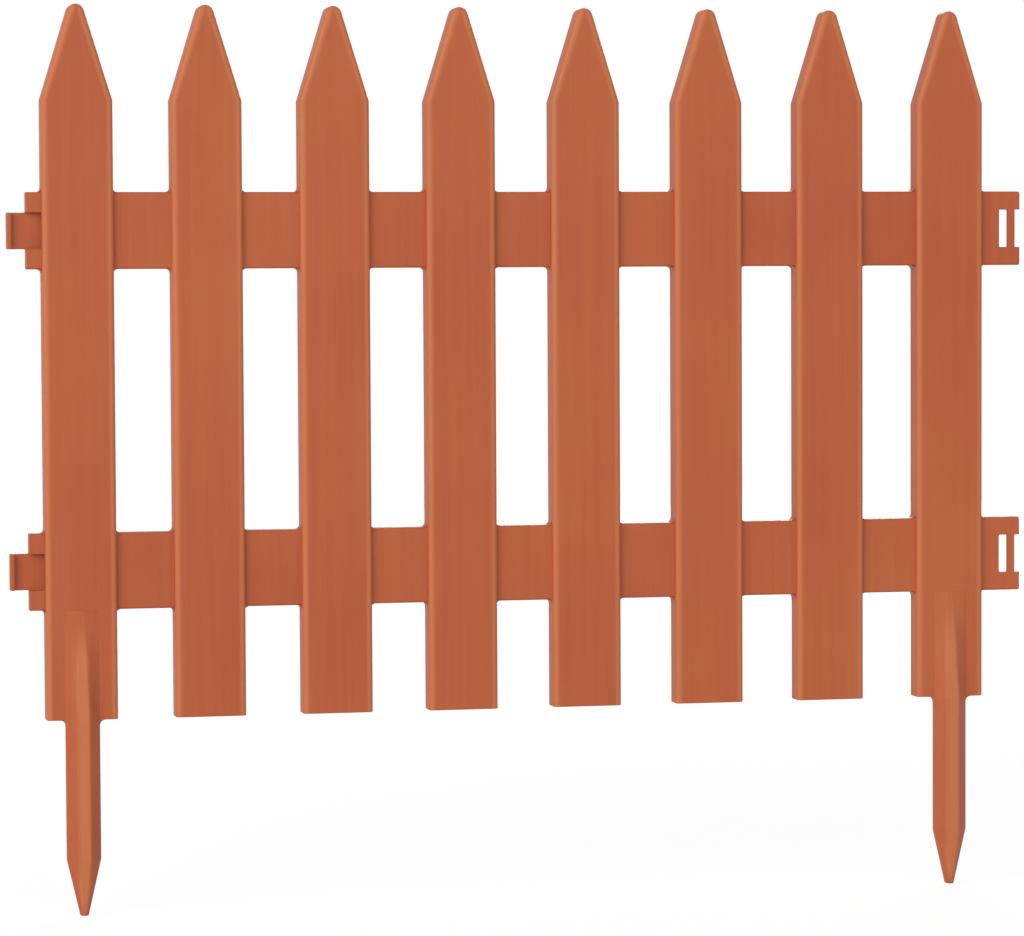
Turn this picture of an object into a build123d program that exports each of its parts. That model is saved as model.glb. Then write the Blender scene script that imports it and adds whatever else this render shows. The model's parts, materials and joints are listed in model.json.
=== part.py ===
from build123d import *

import os

# Decorative garden fence section: one open-backed injection moulding of pointed pickets on two rails.
# Units are millimetres. +X runs along the fence from the hooks to the eyes, +Y points to the back,
# +Z is up. The ground line is z = 0, and the origin is the middle of the datum picket's foot.

# Pickets
picket_count = 8
datum_picket = 4
picket_width = 31.5
picket_gap = 25.5
picket_depth = 10.0
picket_height = 314.0
point_height = 42.0
tip_radius = 3.8
shoulder_radius = 1.5
picket_edge_radius = 2.0

# Walls of the open-backed moulding
face_wall = 2.4
side_wall = 2.2

# Rails
rail_height = 33.8
rail_setback = 3.0
rail_edge_radius = 1.0
inner_corner_radius = 2.0
lower_rail_middle = 65.25
upper_rail_middle = 215.0

# Hooks at the left end of the rails
hook_stub_length = 6.7
tongue_height = 16.0
tongue_thickness = 3.0
hook_tip_thickness = 2.0
hook_tip_rise = 2.8
hook_clearance = 0.6
hook_edge_radius = 0.6

# Eyes at the right end of the rails, which take the hooks of the next section
eye_slot_width = 4.2
eye_clearance = 0.6
eye_bar_width = 3.3
eye_bar_thickness = 2.6
eye_lug_length = 2.4
eye_edge_radius = 0.8

# Stakes under the two end pickets: a strip bent to a ridge, which fades up the picket's face
stake_length = 86.5
stake_point_height = 25.0
stake_width = 15.0
stake_point_width = 3.5
stake_wall = 3.0
stake_root_radius = 2.5
ridge_rise = 5.0
ridge_crest_width = 5.0
ridge_faded_rise = 0.2
ridge_faded_crest_width = 2.0

# Places worked out from the sizes above
picket_pitch = picket_width + picket_gap
front = -picket_depth / 2
back = picket_depth / 2
rail_front = front + rail_setback
rail_middles = (lower_rail_middle, upper_rail_middle)
picket_middles = [(i + 1 - datum_picket) * picket_pitch for i in range(picket_count)]
left_flank = picket_middles[0] - picket_width / 2
right_flank = picket_middles[-1] + picket_width / 2

# A joined hook and eye fill one picket gap, so the spacing runs on evenly from section to section.
# The stub of the eye takes what the stub of the hook and the eye itself leave of that gap.
eye_stub_length = picket_gap - hook_stub_length - eye_slot_width - eye_bar_width - eye_lug_length
slot_start = right_flank + eye_stub_length
bar_start = slot_start + eye_slot_width
bar_end = bar_start + eye_bar_width
bar_back = rail_front + eye_bar_thickness
eye_butt = bar_end + eye_lug_length
eye_height = tongue_height + 2 * eye_clearance
hook_butt = left_flank - hook_stub_length
tongue_length = eye_lug_length + eye_bar_width + hook_clearance + hook_tip_thickness
tongue_end = hook_butt - tongue_length
tongue_front = back - tongue_thickness
hook_tip_front = tongue_front - hook_tip_rise


def block(x_range, y_range, z_range):
    """Box between two places on each axis."""
    spans = (x_range, y_range, z_range)
    sizes = [high - low for low, high in spans]
    middle = [(low + high) / 2 for low, high in spans]
    return Pos(*middle) * Box(*sizes)


def about(middle, height):
    """Range of a height that is centred on a level."""
    return middle - height / 2, middle + height / 2


def front_view(sketch, y):
    """Sketch drawn in x and z, stood up at depth y, with its normal to the front."""
    return Plane.XZ.offset(-y) * sketch


def picket_outline():
    """Square-cut foot and straight body under a point: the hull of a rectangle and the round tip."""
    shoulder = picket_height - point_height
    body = Pos(0, shoulder / 2) * Rectangle(picket_width, shoulder)
    tip = Pos(0, picket_height - tip_radius) * Circle(tip_radius)
    outline = make_hull(body.edges() + tip.edges())
    shoulders = outline.vertices().group_by(Axis.X)[0].sort_by(Axis.Y)[-1:]
    shoulders += outline.vertices().group_by(Axis.X)[-1].sort_by(Axis.Y)[-1:]
    return fillet(shoulders, shoulder_radius)


def picket_shell():
    """One picket with rounded front edges down to its foot, before it is hollowed."""
    solid = extrude(front_view(picket_outline(), back), picket_depth)
    rim = solid.faces().sort_by(Axis.Y)[0].edges().sort_by(Axis.Z)
    return fillet(rim[1:], picket_edge_radius)


def picket_pocket():
    """Hollow of one picket, open at the back, with the edge walls of the rails left as ribs across it."""
    inside = offset(picket_outline(), -side_wall, kind=Kind.INTERSECTION)
    hollow = extrude(front_view(inside, back), picket_depth - face_wall)
    rib_offset = (rail_height - side_wall) / 2
    rib_middles = [middle + side * rib_offset for middle in rail_middles for side in (-1, 1)]
    return hollow - [block((-picket_width, picket_width), (front, back), about(z, side_wall)) for z in rib_middles]


def rail_outline(middle):
    """Front view of a rail and the stretches of the pickets that it crosses, with rounded inner corners."""
    bar = Pos((hook_butt + eye_butt) / 2, middle) * Rectangle(eye_butt - hook_butt, rail_height)
    stretch = Rectangle(picket_width, rail_height + 4 * inner_corner_radius)
    outline = bar + [Pos(x, middle) * stretch for x in picket_middles]
    levels = outline.vertices().group_by(Axis.Y)
    inner = levels[1].sort_by(Axis.X)[1:-1] + levels[2].sort_by(Axis.X)[1:-1]
    return fillet(inner, inner_corner_radius)


def rail_bar(middle):
    """Rail from the hook's butt face to the eye's, with rounded front edges and filled inner corners."""
    bar = block((hook_butt, eye_butt), (rail_front, back), about(middle, rail_height))
    rim = bar.faces().sort_by(Axis.Y)[0].edges().filter_by(Axis.X)
    corners = extrude(front_view(rail_outline(middle), back), back - rail_front - rail_edge_radius)
    return fillet(rim, rail_edge_radius) + corners


def rail_pockets(middle):
    """Hollows of one rail between the pickets and in the stub of the eye, open at the back."""
    lengths = [picket_gap] * (picket_count - 1) + [eye_stub_length - side_wall]
    starts = [x + picket_width / 2 for x in picket_middles]
    levels = about(middle, rail_height - 2 * side_wall)
    depth = (rail_front + face_wall, back)
    return [block((x, x + length), depth, levels) for x, length in zip(starts, lengths)]


def hook_recess(middle):
    """Recess in the left stub that shows the tongue as its floor."""
    return block((hook_butt, left_flank), (rail_front, tongue_front), about(middle, tongue_height))


def hook(middle):
    """Tongue along the back of the stub, with a tip that turns to the front."""
    levels = about(middle, tongue_height)
    tongue = block((tongue_end, left_flank), (tongue_front, back), levels)
    tip = block((tongue_end, tongue_end + hook_tip_thickness), (hook_tip_front, back), levels)
    bent = tongue + tip
    return fillet(bent.faces().sort_by(Axis.X)[0].edges(), hook_edge_radius)


def eye_cuts(middle):
    """Slot for the hook's tip, way in for its tongue behind the bar, and notch between the lugs."""
    levels = about(middle, eye_height)
    slot = block((slot_start, bar_start), (rail_front, back), levels)
    way_in = block((bar_start, eye_butt), (bar_back, back), levels)
    notch = block((bar_end, eye_butt), (rail_front, back), levels)
    return [slot, way_in, notch]


def rounded_lugs(bar):
    """Rounds the upright corners of the eye's lugs."""
    outer = bar.faces().filter_by(Plane.YZ).group_by(Axis.X)[-1]
    uprights = [edge for face in outer for edge in face.edges().filter_by(Axis.Z)]
    return fillet(uprights, eye_edge_radius)


def rail(middle):
    """One rail with its hook, its eye and its hollows."""
    bar = rounded_lugs(rail_bar(middle) - eye_cuts(middle))
    return bar - rail_pockets(middle) - hook_recess(middle) + hook(middle)


def ridge_line(width, crest, rise):
    """Points across a ridge that stands out from the plane of the picket's face."""
    return [(-width / 2, front), (-crest / 2, front - rise), (crest / 2, front - rise), (width / 2, front)]


def ridge_strip(width, crest, rise, z):
    """Cross section of the stake: a strip of one thickness, bent to the ridge."""
    outside = ridge_line(width, crest, rise)
    inside = [(x, y + stake_wall) for x, y in reversed(outside)]
    return Plane.XY.offset(z) * make_face(Polyline(*outside, *inside, close=True))


def ridge_foot(crest, rise, z):
    """Cross section of the ridge on the picket, let into the picket's face."""
    outside = ridge_line(stake_width, crest, rise)
    inside = [(x, front + face_wall / 2) for x in (stake_width / 2, -stake_width / 2)]
    return Plane.XY.offset(z) * make_face(Polyline(*outside, *inside, close=True))


def stake_root():
    """Web under the picket's foot, with rounded corners to both edges of the stake."""
    half = stake_width / 2
    reach = half + 2 * stake_root_radius
    side = [(reach, side_wall), (reach, 0), (half, 0), (half, half - reach)]
    mirrored = [(-x, z) for x, z in reversed(side)]
    outline = make_face(Polyline(*side, *mirrored, close=True))
    corners = outline.vertices().group_by(Axis.Y)[1].sort_by(Axis.X)[1:3]
    return extrude(front_view(fillet(corners, stake_root_radius), front + stake_wall), stake_wall)


def stake():
    """Bent strip with a tapered point, rounded roots, and a ridge that fades out at the lower rail."""
    shaft_end = stake_point_height - stake_length
    taper = stake_point_width / stake_width
    full = ridge_strip(stake_width, ridge_crest_width, ridge_rise, shaft_end)
    tip = ridge_strip(stake_point_width, ridge_crest_width * taper, ridge_rise * taper, -stake_length)
    shaft = extrude(full, -shaft_end)
    fade_end = lower_rail_middle - rail_height / 2
    strong = ridge_foot(ridge_crest_width, ridge_rise, 0)
    faded = ridge_foot(ridge_faded_crest_width, ridge_faded_rise, fade_end)
    return shaft + loft([full, tip], ruled=True) + stake_root() + loft([strong, faded], ruled=True)


def fence_section():
    """The whole moulding as one solid."""
    stations = [Pos(x, 0, 0) for x in picket_middles]
    shell = picket_shell()
    pocket = picket_pocket()
    foot = stake()
    body = Part() + [place * shell for place in stations]
    body += [rail(middle) for middle in rail_middles]
    body -= [place * pocket for place in stations]
    return body + [stations[0] * foot, stations[-1] * foot]


os.makedirs("parts", exist_ok=True)
export_step(fence_section(), "parts/fence_section.step")
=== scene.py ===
"""Finish and studio picture of one moulded section of plastic picket fence."""

import json
import logging
import math
from dataclasses import dataclass
from enum import Enum
from typing import Any

import bmesh
import bpy
from mathutils import Matrix, Vector

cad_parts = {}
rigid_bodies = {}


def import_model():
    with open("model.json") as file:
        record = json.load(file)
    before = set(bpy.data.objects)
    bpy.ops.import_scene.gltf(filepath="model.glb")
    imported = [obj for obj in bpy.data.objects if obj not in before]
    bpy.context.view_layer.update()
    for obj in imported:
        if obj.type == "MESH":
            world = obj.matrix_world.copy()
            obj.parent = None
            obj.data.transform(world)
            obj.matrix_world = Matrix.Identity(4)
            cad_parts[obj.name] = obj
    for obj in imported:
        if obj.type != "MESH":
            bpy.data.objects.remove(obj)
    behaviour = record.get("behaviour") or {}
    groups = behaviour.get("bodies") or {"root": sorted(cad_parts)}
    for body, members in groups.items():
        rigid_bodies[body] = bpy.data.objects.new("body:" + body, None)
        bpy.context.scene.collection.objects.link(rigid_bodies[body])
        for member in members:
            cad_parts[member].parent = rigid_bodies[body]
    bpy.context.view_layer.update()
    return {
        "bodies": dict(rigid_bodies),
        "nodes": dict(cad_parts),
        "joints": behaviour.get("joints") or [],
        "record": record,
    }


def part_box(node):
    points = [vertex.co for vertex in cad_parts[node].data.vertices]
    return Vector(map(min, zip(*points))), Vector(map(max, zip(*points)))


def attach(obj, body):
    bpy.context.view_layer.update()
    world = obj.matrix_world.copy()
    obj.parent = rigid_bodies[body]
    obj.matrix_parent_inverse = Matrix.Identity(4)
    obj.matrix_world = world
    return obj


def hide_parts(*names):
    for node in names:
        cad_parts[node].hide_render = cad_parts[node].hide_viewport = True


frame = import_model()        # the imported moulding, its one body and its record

MM = 0.001
BODY = "root"
PANEL_NODE = "fence_section"
PICKET_COUNT = 8
WHITE = (1.0, 1.0, 1.0, 1.0)
# Places of a Mix node's colour sockets, which share their names with its number sockets
COLOUR_A, COLOUR_B, COLOUR_MIXED = 6, 7, 2

log = logging.getLogger("picket_fence")


class Rail(Enum):
    """The two rails, by the first word of the mounts at their ends."""

    UPPER = "upper"
    LOWER = "lower"


def linear(hex_colour: str) -> tuple[float, float, float, float]:
    """Turns an sRGB hex value into a linear colour.

    Args:
        hex_colour: six hex digits, with or without a leading hash.

    Returns:
        Linear red, green, blue and an alpha of one.
    """
    digits = hex_colour.lstrip("#")
    parts = [int(digits[i:i + 2], 16) / 255 for i in (0, 2, 4)]
    red, green, blue = (c / 12.92 if c <= 0.04045 else ((c + 0.055) / 1.055) ** 2.4 for c in parts)
    return red, green, blue, 1.0


def add_node(tree: bpy.types.NodeTree, kind: str, inputs: dict[Any, Any] | None = None,
             **settings: Any) -> bpy.types.Node:
    """Adds a node, sets its properties and fills its inputs.

    Args:
        tree: node tree that takes the node.
        kind: Blender's name for the type of node.
        inputs: input name or place to a value, or to the output socket that feeds it.
        settings: properties of the node.

    Returns:
        The new node.
    """
    node = tree.nodes.new(kind)
    for name, value in settings.items():
        setattr(node, name, value)
    for key, value in (inputs or {}).items():
        if isinstance(value, bpy.types.NodeSocket):
            tree.links.new(value, node.inputs[key])
        else:
            node.inputs[key].default_value = value
    return node


def seen_directly(tree: bpy.types.NodeTree) -> bpy.types.NodeSocket:
    """Adds a switch for rays that come from the camera, a gloss or clear plastic.

    Args:
        tree: node tree of the floor or the world.

    Returns:
        Output that is one on those rays and zero on the rest.
    """
    path = add_node(tree, "ShaderNodeLightPath")
    shown = path.outputs["Is Camera Ray"]
    for ray in ("Is Glossy Ray", "Is Transmission Ray"):
        either = add_node(tree, "ShaderNodeMath", {0: shown, 1: path.outputs[ray]}, operation="MAXIMUM")
        shown = either.outputs[0]
    return shown


def new_piece(name: str, mesh: bpy.types.Mesh) -> bpy.types.Object:
    """Links a mesh to the scene as an object at the origin.

    Args:
        name: name of the piece.
        mesh: mesh with its place in its vertices.

    Returns:
        The linked object.
    """
    piece = bpy.data.objects.new(name, mesh)
    bpy.context.scene.collection.objects.link(piece)
    return piece


def settle_modifiers(piece: bpy.types.Object) -> None:
    """Turns a piece and its modifiers into a plain mesh.

    Args:
        piece: object whose modifiers are evaluated and then removed.
    """
    graph = bpy.context.evaluated_depsgraph_get()
    settled = bpy.data.meshes.new_from_object(piece.evaluated_get(graph))
    settled.name = piece.name
    piece.modifiers.clear()
    piece.data = settled


@dataclass(frozen=True)
class Layout:
    """Where the pickets and rails stand, in metres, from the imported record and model."""

    picket_xs: tuple[float, ...]
    rail_zs: dict[Rail, float]
    ground_z: float
    lowest: Vector
    highest: Vector

    @property
    def face_y(self) -> float:
        """Plane of the pickets' faces, as far in front of the origin as their backs are behind it."""
        return -self.highest.y

    @property
    def stake_xs(self) -> tuple[float, float]:
        """Middles of the two end pickets, which carry the stakes."""
        return self.picket_xs[0], self.picket_xs[-1]

    @property
    def pitch(self) -> float:
        """Distance from picket to picket."""
        return self.picket_xs[1] - self.picket_xs[0]

    @classmethod
    def from_frame(cls, packed: dict[str, Any]) -> "Layout":
        """Reads the layout from the mounts that the record states.

        Args:
            packed: what the frame loader returned.

        Returns:
            The layout of the section.
        """
        places = {mount["name"]: mount["pos_m"] for mount in packed["record"]["mounts"]}
        first, last = places["left_stake"][0], places["right_stake"][0]
        pitch = (last - first) / (PICKET_COUNT - 1)
        lowest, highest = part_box(PANEL_NODE)
        return cls(
            picket_xs=tuple(first + i * pitch for i in range(PICKET_COUNT)),
            rail_zs={rail: places[f"{rail.value}_hook"][2] for rail in Rail},
            ground_z=places["ground_face"][2],
            lowest=lowest,
            highest=highest,
        )


@dataclass(frozen=True)
class TerracottaPolypropylene:
    """Injection-moulded polypropylene, coloured through, from a lightly grained mould.

    The eye sees an even brick orange with a soft satin sheen, broad clouds of pigment and faint
    streaks where the melt ran up the pickets. The paler bands along the front of the pickets' rounded
    edges and the stakes' ridge crests are painted highlights, the light those edges catch.
    """

    layout: Layout
    pigment_deep: str = "#B05534"
    pigment: str = "#B9633A"
    # Painted highlight: a paler colour laid along the pickets' front edges and the ridges' crests
    painted_highlight_colour: str = "#C8754A"
    ior: float = 1.49
    specular_level: float = 0.25
    roughness: float = 0.48
    roughness_spread: float = 0.10
    cloud_size: float = 130 * MM
    cloud_detail: float = 3.0
    streak_width: float = 3.0 * MM
    streak_length: float = 110 * MM
    streak_detail: float = 4.0
    streak_share: float = 0.35
    tint_span: tuple[float, float] = (0.36, 0.64)
    gloss_span: tuple[float, float] = (0.3, 0.7)
    # The mould's real grain is about 0.4 mm, drawn coarser here so that it shows in the picture.
    grain_size: float = 1.1 * MM
    grain_detail: float = 2.0
    grain_height: float = 0.03 * MM
    half_picket: float = 15.75 * MM
    shoulder_z: float = 272 * MM
    point_slope: float = 0.32
    # Reach, full width, strength and depth of the painted highlights along the pickets' front edges
    edge_band: float = 3.6 * MM
    edge_full: float = 1.4 * MM
    edge_highlight_share: float = 0.75
    edge_depth_span: tuple[float, float] = (0.6, 0.8)
    # Reach, full width, rise and strength of the painted highlights along the ridges' crests
    crest_half: float = 4.2 * MM
    crest_full: float = 1.2 * MM
    crest_least_rise: float = 0.4 * MM
    crest_full_rise: float = 2.5 * MM
    crest_highlight_share: float = 0.8

    def material(self) -> bpy.types.Material:
        """Builds the material's node tree.

        Returns:
            The finished material.
        """
        material = bpy.data.materials.new("terracotta_polypropylene")
        material.use_nodes = True
        tree = material.node_tree
        tree.nodes.clear()
        place = add_node(tree, "ShaderNodeTexCoord").outputs["Object"]
        stretch = (1.0, 1.0, self.streak_width / self.streak_length)
        drawn_out = add_node(tree, "ShaderNodeMapping", {"Vector": place, "Scale": stretch})
        clouds = add_node(tree, "ShaderNodeTexNoise",
                          {"Vector": place, "Scale": 1 / self.cloud_size, "Detail": self.cloud_detail})
        streaks = add_node(tree, "ShaderNodeTexNoise",
                           {"Vector": drawn_out.outputs[0], "Scale": 1 / self.streak_width,
                            "Detail": self.streak_detail})
        grain = add_node(tree, "ShaderNodeTexNoise",
                         {"Vector": place, "Scale": 1 / self.grain_size, "Detail": self.grain_detail})
        tint = add_node(tree, "ShaderNodeMix",
                        {"Factor": self.streak_share, "A": clouds.outputs[0], "B": streaks.outputs[0]})
        shade = add_node(tree, "ShaderNodeMapRange",
                         {"Value": tint.outputs[0], "From Min": self.tint_span[0],
                          "From Max": self.tint_span[1]})
        body_colour = add_node(tree, "ShaderNodeMix",
                               {"Factor": shade.outputs[0], COLOUR_A: linear(self.pigment_deep),
                                COLOUR_B: linear(self.pigment)}, data_type="RGBA")
        # Paints the highlights of the edges and crests into the colour
        colour = add_node(tree, "ShaderNodeMix",
                          {"Factor": self.painted_highlight_share(tree, place),
                           COLOUR_A: body_colour.outputs[COLOUR_MIXED],
                           COLOUR_B: linear(self.painted_highlight_colour)}, data_type="RGBA")
        gloss = add_node(tree, "ShaderNodeMapRange",
                         {"Value": streaks.outputs[0], "From Min": self.gloss_span[0],
                          "From Max": self.gloss_span[1],
                          "To Min": self.roughness - self.roughness_spread / 2,
                          "To Max": self.roughness + self.roughness_spread / 2})
        bump = add_node(tree, "ShaderNodeBump",
                        {"Height": grain.outputs[0], "Strength": 1.0, "Distance": self.grain_height})
        skin = add_node(tree, "ShaderNodeBsdfPrincipled",
                        {"Base Color": colour.outputs[COLOUR_MIXED], "Roughness": gloss.outputs[0],
                         "IOR": self.ior, "Specular IOR Level": self.specular_level,
                         "Normal": bump.outputs[0]})
        add_node(tree, "ShaderNodeOutputMaterial", {"Surface": skin.outputs[0]})
        return material

    def painted_highlight_share(self, tree: bpy.types.NodeTree, place: bpy.types.NodeSocket) -> bpy.types.NodeSocket:
        """Adds the mask of the painted highlights, which are paler than the flats.

        Args:
            tree: the material's node tree.
            place: object coordinates.

        Returns:
            Output that is zero on the flats and the back.
        """
        spot = add_node(tree, "ShaderNodeSeparateXYZ", {0: place}).outputs
        along = add_node(tree, "ShaderNodeMath", {0: spot["X"], 1: self.layout.picket_xs[0]},
                         operation="SUBTRACT")
        off_middle = add_node(tree, "ShaderNodeMath", {0: along.outputs[0], 1: self.layout.pitch / 2},
                              operation="PINGPONG").outputs[0]
        bands = self.paint_edge_highlights(tree, off_middle, spot)
        crests = self.paint_crest_highlights(tree, off_middle, spot)
        return add_node(tree, "ShaderNodeMath", {0: bands, 1: crests}, operation="MAXIMUM").outputs[0]

    def paint_edge_highlights(self, tree: bpy.types.NodeTree, off_middle: bpy.types.NodeSocket,
                   spot: bpy.types.NodeOutputs) -> bpy.types.NodeSocket:
        """Adds the mask of the painted highlights, pale bands along both edges of every picket's face.

        Args:
            tree: the material's node tree.
            off_middle: distance from the middle of the nearest picket.
            spot: the object coordinates one by one.

        Returns:
            Output that rises to the bands' share at the edges.
        """
        over_shoulder = add_node(tree, "ShaderNodeMapRange",
                                 {"Value": spot["Z"], "From Min": self.shoulder_z,
                                  "From Max": self.shoulder_z + self.half_picket / self.point_slope,
                                  "To Max": self.half_picket})
        from_edge = add_node(tree, "ShaderNodeMath", {0: off_middle, 1: over_shoulder.outputs[0]})
        band = add_node(tree, "ShaderNodeMapRange",
                        {"Value": from_edge.outputs[0], "From Min": self.half_picket - self.edge_band,
                         "From Max": self.half_picket - self.edge_full, "To Max": self.edge_highlight_share},
                        interpolation_type="SMOOTHSTEP")
        front = add_node(tree, "ShaderNodeMapRange",
                         {"Value": spot["Y"], "From Min": self.layout.face_y * self.edge_depth_span[0],
                          "From Max": self.layout.face_y * self.edge_depth_span[1]})
        return add_node(tree, "ShaderNodeMath", {0: band.outputs[0], 1: front.outputs[0]},
                        operation="MULTIPLY").outputs[0]

    def paint_crest_highlights(self, tree: bpy.types.NodeTree, off_middle: bpy.types.NodeSocket,
                     spot: bpy.types.NodeOutputs) -> bpy.types.NodeSocket:
        """Adds the mask of the painted highlights on the crests of the stakes' ridges, which alone stand
        out past the faces.

        Args:
            tree: the material's node tree.
            off_middle: distance from the middle of the nearest picket.
            spot: the object coordinates one by one.

        Returns:
            Output that rises to the crests' share along them and fades with the ridge.
        """
        near = add_node(tree, "ShaderNodeMapRange",
                        {"Value": off_middle, "From Min": self.crest_half, "From Max": self.crest_full,
                         "To Max": self.crest_highlight_share}, interpolation_type="SMOOTHSTEP")
        proud = add_node(tree, "ShaderNodeMapRange",
                         {"Value": spot["Y"], "From Min": self.layout.face_y - self.crest_least_rise,
                          "From Max": self.layout.face_y - self.crest_full_rise},
                         interpolation_type="SMOOTHSTEP")
        return add_node(tree, "ShaderNodeMath", {0: near.outputs[0], 1: proud.outputs[0]},
                        operation="MULTIPLY").outputs[0]


@dataclass(frozen=True)
class StudioWhite:
    """Matt white sweep paper: it shows as plain white and keeps a faint shadow of the section."""

    paper: str = "#F2F2F2"
    glow: float = 0.85
    shadow_share: float = 0.2

    def material(self) -> bpy.types.Material:
        """Builds the floor's material.

        Returns:
            The finished material.
        """
        material = bpy.data.materials.new("studio_paper")
        material.use_nodes = True
        tree = material.node_tree
        tree.nodes.clear()
        lit = add_node(tree, "ShaderNodeBsdfDiffuse", {"Color": linear(self.paper)})
        faint = add_node(tree, "ShaderNodeBsdfDiffuse", {"Color": (self.shadow_share,) * 3 + (1.0,)})
        white = add_node(tree, "ShaderNodeEmission", {"Strength": self.glow})
        seen = add_node(tree, "ShaderNodeAddShader", {0: faint.outputs[0], 1: white.outputs[0]})
        mixed = add_node(tree, "ShaderNodeMixShader",
                         {0: seen_directly(tree), 1: lit.outputs[0], 2: seen.outputs[0]})
        add_node(tree, "ShaderNodeOutputMaterial", {"Surface": mixed.outputs[0]})
        return material


@dataclass
class MouldedPanel:
    """The moulding itself: pickets, rails, hooks, eyes and stakes in one shell."""

    layout: Layout
    merge_distance: float = 0.001 * MM
    flat_angle: float = math.radians(0.3)
    edge_radius: float = 0.35 * MM
    edge_segments: int = 2
    sharp_angle: float = math.radians(32)
    least_area: float = 2.2 * MM * MM
    ridge_height: float = 48.35 * MM
    ridge_half_foot: float = 7.5 * MM
    ridge_half_crest: float = 2.5 * MM
    ridge_half_crest_faded: float = 1.0 * MM
    line_slack: float = 0.03 * MM

    def on_ridge_line(self, place: Vector) -> bool:
        """Tells whether a point lies on the foot or the crest of a ridge, on the stake or the picket.

        Args:
            place: corner of the shell.

        Returns:
            True on one of the ridge's four lines.
        """
        share = max(place.z / self.ridge_height, 0.0)
        half_crest = self.ridge_half_crest + share * (self.ridge_half_crest_faded - self.ridge_half_crest)
        off_middle = min(abs(place.x - x) for x in self.layout.stake_xs)
        off_line = min(abs(off_middle - line) for line in (self.ridge_half_foot, half_crest))
        in_front = place.y < self.layout.face_y + self.line_slack
        return in_front and off_line < self.line_slack

    def is_ridge_line(self, edge: bmesh.types.BMEdge) -> bool:
        """Tells whether the shading has to break along an edge of the ridge.

        Args:
            edge: edge of the shell.

        Returns:
            True where both corners lie on the ridge's lines.
        """
        return all(self.on_ridge_line(corner.co) for corner in edge.verts)

    def has_room(self, edge: bmesh.types.BMEdge) -> bool:
        """Tells whether both faces of an edge are large and deep enough for the mould radius.

        Args:
            edge: edge of the shell.

        Returns:
            True where the edge can be rounded.
        """
        area = min(face.calc_area() for face in edge.link_faces)
        return area > self.least_area and area / edge.calc_length() > 2 * self.edge_radius

    def mark_edge(self, edge: bmesh.types.BMEdge, rounded: bmesh.types.BMLayerItem) -> None:
        """Chooses whether an edge is rounded, left crisp or shaded as part of a curve.

        Args:
            edge: edge of the shell.
            rounded: layer of the bevel weights.
        """
        on_ridge = self.is_ridge_line(edge)
        is_corner = edge.calc_face_angle() > self.sharp_angle
        takes_radius = is_corner and not on_ridge and self.has_room(edge)
        edge[rounded] = float(takes_radius)
        edge.smooth = takes_radius or not (is_corner or on_ridge)

    def shell(self) -> bpy.types.Mesh:
        """Copies the solid's facets and joins them into clean flat faces.

        Returns:
            One closed mesh with shared corners.
        """
        mesh = frame["nodes"][PANEL_NODE].data.copy()
        mesh.name = "moulded_panel"
        mesh.materials.clear()
        work = bmesh.new()
        work.from_mesh(mesh)
        bmesh.ops.remove_doubles(work, verts=work.verts, dist=self.merge_distance)
        bmesh.ops.dissolve_limit(work, angle_limit=self.flat_angle, verts=work.verts, edges=work.edges)
        for face in work.faces:
            face.smooth = True
        rounded = work.edges.layers.float.new("bevel_weight_edge")
        for edge in work.edges:
            self.mark_edge(edge, rounded)
        work.to_mesh(mesh)
        work.free()
        return mesh

    def soften_edges(self, piece: bpy.types.Object) -> None:
        """Rounds the marked edges as a mould does, and keeps the flats evenly shaded.

        Args:
            piece: the panel, which is left as a plain mesh.
        """
        rounding = piece.modifiers.new("mould_radius", "BEVEL")
        rounding.width = self.edge_radius
        rounding.segments = self.edge_segments
        rounding.limit_method = "WEIGHT"
        rounding.use_clamp_overlap = False
        # The rounding leaves edges of no length where three radii meet.
        welding = piece.modifiers.new("joined_corners", "WELD")
        welding.mode = "CONNECTED"
        welding.merge_threshold = self.merge_distance
        shading = piece.modifiers.new("even_flats", "WEIGHTED_NORMAL")
        shading.keep_sharp = True
        settle_modifiers(piece)

    def build(self, plastic: bpy.types.Material) -> bpy.types.Object:
        """Makes the panel and stands it in for the solid.

        Args:
            plastic: material of the whole moulding.

        Returns:
            The finished piece.
        """
        piece = new_piece("moulded_panel", self.shell())
        self.soften_edges(piece)
        piece.data.materials.clear()
        piece.data.materials.append(plastic)
        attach(piece, BODY)
        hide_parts(PANEL_NODE)
        return piece


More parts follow.
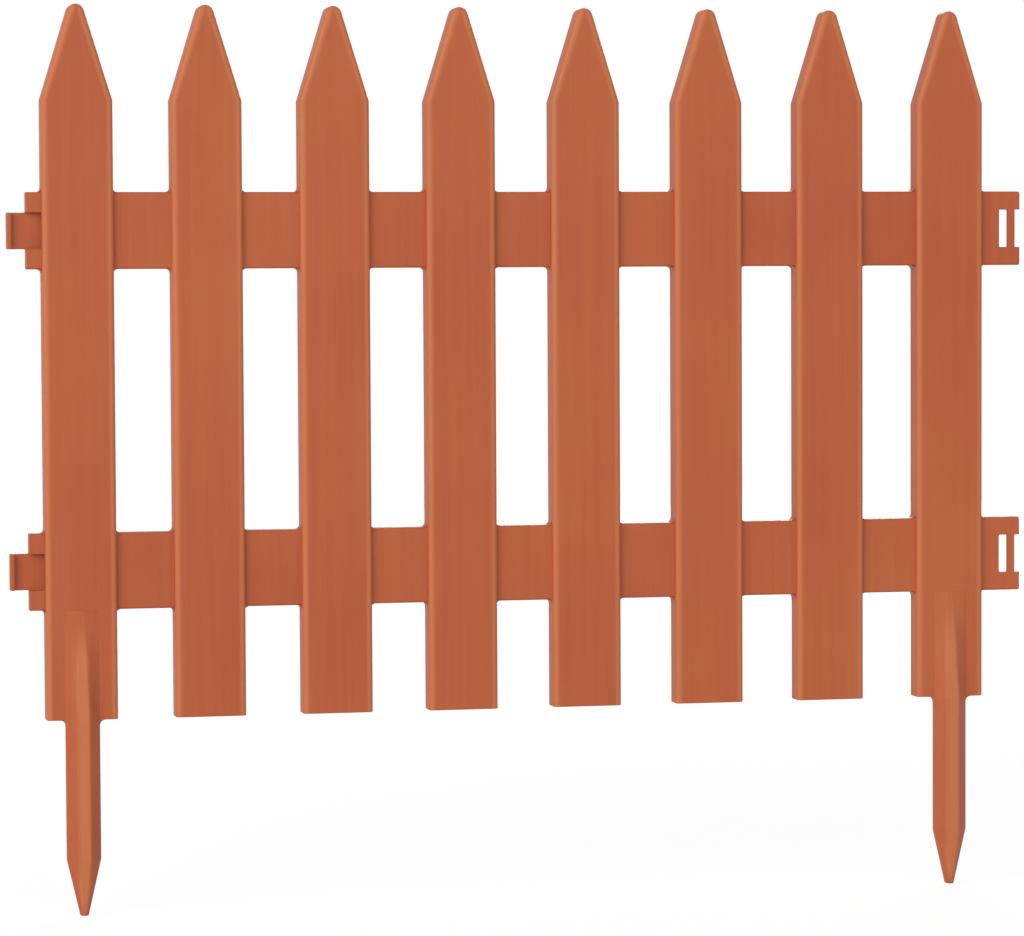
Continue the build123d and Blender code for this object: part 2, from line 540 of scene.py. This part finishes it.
@dataclass(frozen=True)
class MouldMarks:
    """Round marks that the mould leaves in the hollows of the unseen back, in columns and rows.

    A ray from behind drops each mark on the floor of the hollow that it looks into.
    """

    name: str
    first: tuple[float, float]
    columns: int
    column_step: float
    rows: int
    row_step: float
    radius: float
    rise: float
    top_share: float
    sides: int
    seed: int
    reach: float = 20 * MM

    def values(self, panel: bpy.types.Object, plastic: bpy.types.Material, back: float) -> dict[str, Any]:
        """Gives the value of each named input of the node group.

        Args:
            panel: moulding that takes the marks.
            plastic: material of the marks.
            back: plane behind the moulding that the rays start from.

        Returns:
            Input name to value.
        """
        width, height = (self.columns - 1) * self.column_step, (self.rows - 1) * self.row_step
        return {"Columns": self.columns, "Rows": self.rows, "Width": width, "Height": height,
                "Middle": (self.first[0] + width / 2, back, self.first[1] + height / 2),
                "Radius": self.radius, "Rise": self.rise, "Top Radius": self.radius * self.top_share,
                "Sides": self.sides, "Seed": self.seed, "Panel": panel, "Plastic": plastic}

    def node_group(self, values: dict[str, Any]) -> bpy.types.NodeTree:
        """Builds the node group that places the marks.

        Args:
            values: named inputs, whose kinds choose the sockets.

        Returns:
            The finished node group.
        """
        kinds = {int: "NodeSocketInt", float: "NodeSocketFloat", tuple: "NodeSocketVector",
                 bpy.types.Object: "NodeSocketObject", bpy.types.Material: "NodeSocketMaterial"}
        tree = bpy.data.node_groups.new(self.name, "GeometryNodeTree")
        tree.interface.new_socket("Marks", in_out="OUTPUT", socket_type="NodeSocketGeometry")
        for title, value in values.items():
            tree.interface.new_socket(title, in_out="INPUT", socket_type=kinds[type(value)])
        given = add_node(tree, "NodeGroupInput").outputs
        grid = add_node(tree, "GeometryNodeMeshGrid",
                        {"Size X": given["Width"], "Size Y": given["Height"],
                         "Vertices X": given["Columns"], "Vertices Y": given["Rows"]})
        upright = add_node(tree, "GeometryNodeTransform",
                           {"Geometry": grid.outputs[0], "Translation": given["Middle"],
                            "Rotation": (math.pi / 2, 0.0, 0.0)})
        target = add_node(tree, "GeometryNodeObjectInfo", {"Object": given["Panel"]})
        sight = add_node(tree, "GeometryNodeRaycast",
                         {"Target Geometry": target.outputs["Geometry"], "Ray Direction": (0.0, -1.0, 0.0),
                          "Ray Length": self.reach})
        landed = add_node(tree, "GeometryNodeSetPosition",
                          {"Geometry": upright.outputs[0], "Position": sight.outputs["Hit Position"]})
        spin = add_node(tree, "FunctionNodeRandomValue",
                        {"Max": math.tau, "Seed": given["Seed"]}, data_type="FLOAT")
        turn = add_node(tree, "ShaderNodeCombineXYZ", {"X": -math.pi / 2, "Y": spin.outputs["Value"]})
        mark = add_node(tree, "GeometryNodeMeshCone",
                        {"Vertices": given["Sides"], "Radius Top": given["Top Radius"],
                         "Radius Bottom": given["Radius"], "Depth": given["Rise"]})
        placed = add_node(tree, "GeometryNodeInstanceOnPoints",
                          {"Points": landed.outputs[0], "Instance": mark.outputs[0],
                           "Rotation": turn.outputs[0]})
        real = add_node(tree, "GeometryNodeRealizeInstances", {"Geometry": placed.outputs[0]})
        dressed = add_node(tree, "GeometryNodeSetMaterial",
                           {"Geometry": real.outputs[0], "Material": given["Plastic"]})
        add_node(tree, "NodeGroupOutput", {"Marks": dressed.outputs[0]})
        return tree

    def build(self, panel: bpy.types.Object, plastic: bpy.types.Material, back: float) -> bpy.types.Object:
        """Makes the marks as one plain mesh.

        Args:
            panel: moulding that takes the marks.
            plastic: material of the marks.
            back: plane behind the moulding that the rays start from.

        Returns:
            The finished piece.
        """
        piece = new_piece(self.name, bpy.data.meshes.new(self.name))
        values = self.values(panel, plastic, back)
        tree = self.node_group(values)
        placing = piece.modifiers.new("placing", "NODES")
        placing.node_group = tree
        for socket in tree.interface.items_tree:
            if socket.name in values:
                placing[socket.identifier] = values[socket.name]
        settle_modifiers(piece)
        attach(piece, BODY)
        return piece


def mould_marks(layout: Layout) -> list[MouldMarks]:
    """Lays out the ejector pins' marks in the pickets and the gates' stubs in the rails.

    Args:
        layout: where the pickets and rails stand.

    Returns:
        The sets of marks on the back.
    """
    lower, upper = (layout.rail_zs[rail] for rail in (Rail.LOWER, Rail.UPPER))
    first_picket = layout.picket_xs[0]
    # A pin at every 54 mm up each picket
    ejector_marks = MouldMarks(
        name="ejector_marks", first=(first_picket, layout.ground_z + 20 * MM),
        columns=PICKET_COUNT, column_step=layout.pitch, rows=6, row_step=54 * MM,
        radius=3.0 * MM, rise=0.35 * MM, top_share=0.93, sides=32, seed=3)
    # A gate in the second and the sixth gap of each rail
    gate_stubs = MouldMarks(
        name="gate_stubs", first=(first_picket + layout.pitch * 1.5, lower),
        columns=2, column_step=layout.pitch * 4, rows=2, row_step=upper - lower,
        radius=1.3 * MM, rise=0.8 * MM, top_share=0.8, sides=9, seed=7)
    return [ejector_marks, gate_stubs]


@dataclass(frozen=True)
class PhotoCamera:
    """Camera fitted to the picture: place in metres, turns in degrees, focal length in pixels."""

    place: tuple[float, float, float] = (-0.3607, -1.8016, 0.1958)
    yaw: float = 12.04
    pitch: float = 2.73
    roll: float = -0.28
    focal_pixels: float = 4101.8
    picture_width: float = 1024.0
    sensor_width: float = 36.0

    def build(self) -> bpy.types.Object:
        """Makes the scene's camera.

        Returns:
            The camera object.
        """
        lens = bpy.data.cameras.new("photo_camera")
        lens.sensor_fit = "HORIZONTAL"
        lens.sensor_width = self.sensor_width
        lens.lens = self.sensor_width * self.focal_pixels / self.picture_width
        camera = bpy.data.objects.new("photo_camera", lens)
        bpy.context.scene.collection.objects.link(camera)
        turn = (Matrix.Rotation(math.radians(-self.yaw), 4, "Z")
                @ Matrix.Rotation(math.radians(90 - self.pitch), 4, "X")
                @ Matrix.Rotation(math.radians(self.roll), 4, "Z"))
        camera.matrix_world = Matrix.Translation(self.place) @ turn
        bpy.context.scene.camera = camera
        return camera


@dataclass(frozen=True)
class Softbox:
    """A rectangular lamp that faces the middle of the section."""

    name: str
    place: tuple[float, float, float]
    size: tuple[float, float]
    watts: float

    def build(self, target: Vector) -> bpy.types.Object:
        """Makes the lamp.

        Args:
            target: point that the lamp faces.

        Returns:
            The lamp object.
        """
        lamp = bpy.data.lights.new(self.name, "AREA")
        lamp.shape = "RECTANGLE"
        lamp.size, lamp.size_y = self.size
        lamp.energy = self.watts
        box = bpy.data.objects.new(self.name, lamp)
        bpy.context.scene.collection.objects.link(box)
        box.location = self.place
        box.rotation_euler = (target - Vector(self.place)).to_track_quat("-Z", "Y").to_euler()
        return box


@dataclass(frozen=True)
class Studio:
    """White paper floor, white surround, a large soft box on the left, faint ones in front and behind."""

    floor_width: float = 6.0
    ambient: float = 0.43
    softboxes: tuple[Softbox, ...] = (
        Softbox("key_softbox", (-3.1, -2.85, 1.65), (3.2, 2.4), 104.0),
        Softbox("fill_softbox", (0.3, -3.4, 1.1), (1.6, 1.2), 18.0),
        Softbox("back_softbox", (1.4, 3.1, 1.3), (1.8, 1.4), 50.0),
    )

    def floor(self, level: float) -> bpy.types.Object:
        """Lays the paper under the stakes.

        Args:
            level: height of the floor.

        Returns:
            The floor object.
        """
        half = self.floor_width / 2
        mesh = bpy.data.meshes.new("paper_floor")
        corners = [(x, y, level) for x, y in ((-half, -half), (half, -half), (half, half), (-half, half))]
        mesh.from_pydata(corners, [], [(0, 1, 2, 3)])
        mesh.materials.append(StudioWhite().material())
        floor = new_piece("paper_floor", mesh)
        return floor

    def surround(self) -> None:
        """Makes the world plain white to look at and softer as a light."""
        world = bpy.data.worlds.new("studio_surround")
        bpy.context.scene.world = world
        world.use_nodes = True
        tree = world.node_tree
        tree.nodes.clear()
        strength = add_node(tree, "ShaderNodeMapRange",
                            {"Value": seen_directly(tree), "To Min": self.ambient})
        white = add_node(tree, "ShaderNodeBackground", {"Color": WHITE, "Strength": strength.outputs[0]})
        add_node(tree, "ShaderNodeOutputWorld", {"Surface": white.outputs[0]})

    def build(self, layout: Layout) -> None:
        """Sets up the floor, the surround and the lamps.

        Args:
            layout: where the section stands.
        """
        self.floor(layout.lowest.z)
        self.surround()
        middle = (layout.lowest + layout.highest) / 2
        for softbox in self.softboxes:
            softbox.build(middle)
        bpy.context.scene.view_settings.view_transform = "Standard"


def main() -> None:
    """Builds the dressed section and its studio, and reports each piece."""
    logging.basicConfig(level=logging.INFO, format="%(name)s: %(message)s")
    layout = Layout.from_frame(frame)
    plastic = TerracottaPolypropylene(layout).material()
    panel = MouldedPanel(layout).build(plastic)
    marks = [kind.build(panel, plastic, layout.highest.y) for kind in mould_marks(layout)]
    for piece in [panel, *marks]:
        log.info("%s: %d faces", piece.name, len(piece.data.polygons))
    Studio().build(layout)
    PhotoCamera().build()


if __name__ == "__main__":
    main()
